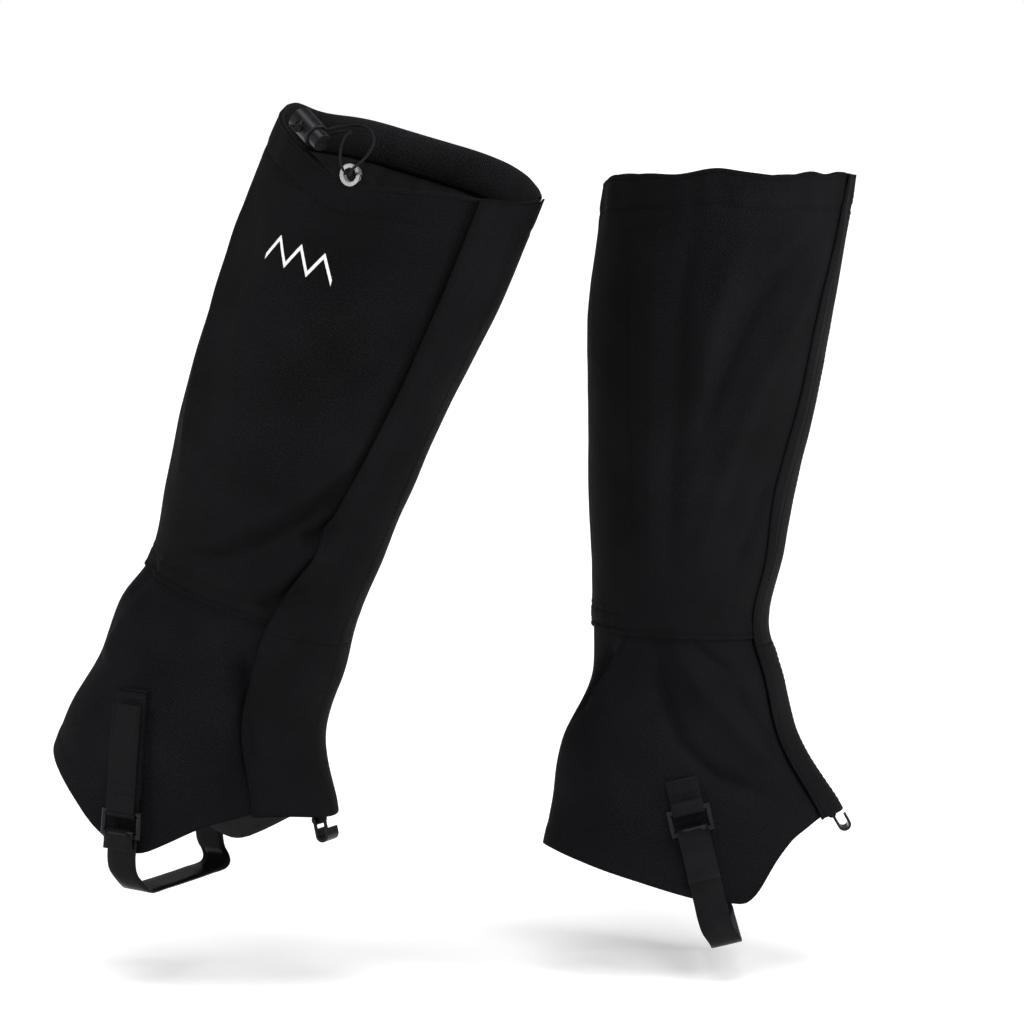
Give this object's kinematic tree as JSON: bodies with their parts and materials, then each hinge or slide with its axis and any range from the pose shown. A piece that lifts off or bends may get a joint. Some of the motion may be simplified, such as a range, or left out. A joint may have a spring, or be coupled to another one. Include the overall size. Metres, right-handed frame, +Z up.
{
  "type": "gaiters",
  "caption": "Pair of knee-high woven gaiters with hook-and-loop front flaps, drawcord mouths, cord locks, strap rings and instep straps, in walking pose.",
  "frame": {"origin": "under the arch of the left boot, the middle of the left instep strap's top face", "axes": "+X towards the left toe, +Y to the left gaiter's outer side, +Z up the left leg"},
  "size_m": [0.4963, 0.2715, 0.5201],
  "materials": {
    "shell_fabric": "tightly woven coated nylon, matt with a slight sheen",
    "boot_fabric": "heavier woven coated nylon, matt",
    "webbing": "ribbed woven nylon tape",
    "hook_and_loop": "hook and loop tape",
    "strap_plastic": "smooth coated strap, satin gloss",
    "eyelet_metal": "bright nickel plate",
    "ring_metal": "black coated wire",
    "cord": "braided elastic cord",
    "lock_plastic": "moulded, semi gloss",
    "spring_steel": "bright wire",
    "print": "white print"
  },
  "bodies": {
    "left_shell": {"left_upper_panel": "shell_fabric", "left_lower_panel": "boot_fabric", "left_bottom_hem": "webbing", "left_ankle_seam_band": "shell_fabric", "left_top_hem_facing": "shell_fabric", "left_hem_elastic_cord": "cord", "left_back_seam_tape": "webbing", "left_flap_seam": "shell_fabric", "left_flap_ankle": "shell_fabric", "left_loop_tape": "hook_and_loop", "left_eyelet": "eyelet_metal", "left_drawcord_strand_a": "cord", "left_drawcord_strand_b": "cord", "left_drawcord_knot": "cord", "left_outer_strap_anchor": "boot_fabric", "left_outer_webbing": "webbing", "left_inner_tab": "webbing", "left_lace_hook_tab": "webbing"},
    "left_flap_top": {"left_flap_upper": "shell_fabric", "left_hook_tape_upper": "hook_and_loop"},
    "left_flap_foot": {"left_flap_lower": "shell_fabric", "left_hook_tape_lower": "hook_and_loop"},
    "left_lock": {"left_cord_lock_body": "lock_plastic", "left_cord_lock_spring": "spring_steel"},
    "left_button": {"left_cord_lock_plunger": "lock_plastic"},
    "left_webbing_tail": {"left_outer_webbing_end": "webbing"},
    "left_ring_outer": {"left_outer_ring": "ring_metal"},
    "left_ring_inner": {"left_inner_ring": "ring_metal"},
    "left_underfoot": {"left_instep_strap": "strap_plastic"},
    "left_hook": {"left_lace_hook": "ring_metal"},
    "right_shell": {"right_upper_panel": "shell_fabric", "right_lower_panel": "boot_fabric", "right_bottom_hem": "webbing", "right_ankle_seam_band": "shell_fabric", "right_top_hem_facing": "shell_fabric", "right_hem_elastic_cord": "cord", "right_back_seam_tape": "webbing", "right_flap_seam": "shell_fabric", "right_flap_ankle": "shell_fabric", "right_loop_tape": "hook_and_loop", "right_eyelet": "eyelet_metal", "right_drawcord_strand_a": "cord", "right_drawcord_strand_b": "cord", "right_drawcord_knot": "cord", "right_outer_strap_anchor": "boot_fabric", "right_outer_webbing": "webbing", "right_inner_tab": "webbing", "right_lace_hook_tab": "webbing"},
    "right_flap_top": {"right_flap_upper": "shell_fabric", "right_hook_tape_upper": "hook_and_loop"},
    "right_flap_foot": {"right_flap_lower": "shell_fabric", "right_hook_tape_lower": "hook_and_loop"},
    "right_lock": {"right_cord_lock_body": "lock_plastic", "right_cord_lock_spring": "spring_steel"},
    "right_button": {"right_cord_lock_plunger": "lock_plastic"},
    "right_webbing_tail": {"right_outer_webbing_end": "webbing"},
    "right_ring_outer": {"right_outer_ring": "ring_metal"},
    "right_ring_inner": {"right_inner_ring": "ring_metal"},
    "right_underfoot": {"right_instep_strap": "strap_plastic"},
    "right_hook": {"right_lace_hook": "ring_metal"}
  },
  "joints": [
    {"name": "left_flap_top_opens", "type": "hinge", "parent": "left_shell", "child": "left_flap_top", "pos_m": [0.05175, -0.027, 0.331], "axis": [-0.183, 0, -0.9831], "range_deg": [0, 75]},
    {"name": "left_flap_foot_opens", "type": "hinge", "parent": "left_shell", "child": "left_flap_foot", "pos_m": [0.047, -0.027, 0.1295], "axis": [0.4131, 0, -0.9107], "range_deg": [0, 90]},
    {"name": "left_cord_lock_slides", "type": "slide", "parent": "left_shell", "child": "left_lock", "axis": [0, 0, 1], "range_m": [0, 0.008]},
    {"name": "left_cord_lock_button", "type": "slide", "parent": "left_lock", "child": "left_button", "axis": [-1, 0, 0], "range_m": [0, 0.0036], "stiffness_N_per_m": 600, "springref_m": -0.003, "deforming": ["left_cord_lock_spring"]},
    {"name": "left_webbing_tail_peels", "type": "hinge", "parent": "left_shell", "child": "left_webbing_tail", "pos_m": [-0.01123, 0.0596, 0.04677], "axis": [-0.9724, 0, -0.2334], "range_deg": [0, 120]},
    {"name": "left_strap_swings", "type": "hinge", "parent": "left_shell", "child": "left_ring_inner", "pos_m": [-0.02078, -0.0563, 0.08654], "axis": [0.9724, 0, 0.2334], "range_deg": [-4, 4]},
    {"name": "left_strap_hangs", "type": "hinge", "parent": "left_ring_inner", "child": "left_underfoot", "pos_m": [-0.01751, -0.0563, 0.07293], "axis": [0.9724, 0, 0.2334], "range_deg": [-4, 4]},
    {"name": "left_outer_ring_swings", "type": "hinge", "parent": "left_shell", "child": "left_ring_outer", "pos_m": [-0.0112, 0.0563, 0.04667], "axis": [0.9724, 0, 0.2334], "range_deg": [-4, 4]},
    {"name": "left_lace_hook_swings", "type": "hinge", "parent": "left_shell", "child": "left_hook", "pos_m": [0.07196, 0, 0.07497], "axis": [0, -1, 0], "range_deg": [0, 35]},
    {"name": "right_flap_top_opens", "type": "hinge", "parent": "right_shell", "child": "right_flap_top", "pos_m": [-0.16923, -0.08135, 0.32984], "axis": [0.4056, -0.1876, 0.8946], "range_deg": [0, 75]},
    {"name": "right_flap_foot_opens", "type": "hinge", "parent": "right_shell", "child": "right_flap_foot", "pos_m": [-0.23758, -0.04999, 0.14243], "axis": [0.0868, -0.0346, 0.9956], "range_deg": [0, 90]},
    {"name": "right_cord_lock_slides", "type": "slide", "parent": "right_shell", "child": "right_lock", "axis": [0.6795, 0.7262, -0.1041], "range_m": [0, 0.003]},
    {"name": "right_cord_lock_button", "type": "slide", "parent": "right_lock", "child": "right_button", "axis": [-0.5512, 0.6001, 0.5797], "range_m": [0, 0.0036], "stiffness_N_per_m": 600, "springref_m": -0.003, "deforming": ["right_cord_lock_spring"]},
    {"name": "right_webbing_tail_peels", "type": "hinge", "parent": "right_shell", "child": "right_webbing_tail", "pos_m": [-0.36793, -0.08407, 0.08962], "axis": [0.8992, -0.4299, -0.0807], "range_deg": [0, 120]},
    {"name": "right_strap_swings", "type": "hinge", "parent": "right_shell", "child": "right_ring_inner", "pos_m": [-0.3149, 0.01932, 0.12967], "axis": [0.8992, -0.4299, -0.0807], "range_deg": [-4, 4]},
    {"name": "right_strap_hangs", "type": "hinge", "parent": "right_ring_inner", "child": "right_underfoot", "pos_m": [-0.31596, 0.01972, 0.11572], "axis": [0.8992, -0.4299, -0.0807], "range_deg": [-4, 4]},
    {"name": "right_outer_ring_swings", "type": "hinge", "parent": "right_shell", "child": "right_ring_outer", "pos_m": [-0.36651, -0.08109, 0.0895], "axis": [0.8992, -0.4299, -0.0807], "range_deg": [-4, 4]},
    {"name": "right_lace_hook_swings", "type": "hinge", "parent": "right_shell", "child": "right_hook", "pos_m": [-0.24671, -0.07595, 0.08426], "axis": [-0.4309, -0.9024, 0.0062], "range_deg": [0, 35]},
    {"name": "gaiters_apart", "type": "slide", "parent": "left_shell", "child": "right_shell", "axis": [0, -1, 0], "range_m": [0, 0.1]}
  ],
  "couplings": [
    {"joint": "left_strap_hangs", "follows": "left_strap_swings", "ratio": -1},
    {"joint": "left_outer_ring_swings", "follows": "left_strap_swings", "ratio": 1},
    {"joint": "right_strap_hangs", "follows": "right_strap_swings", "ratio": -1},
    {"joint": "right_outer_ring_swings", "follows": "right_strap_swings", "ratio": 1}
  ]
}
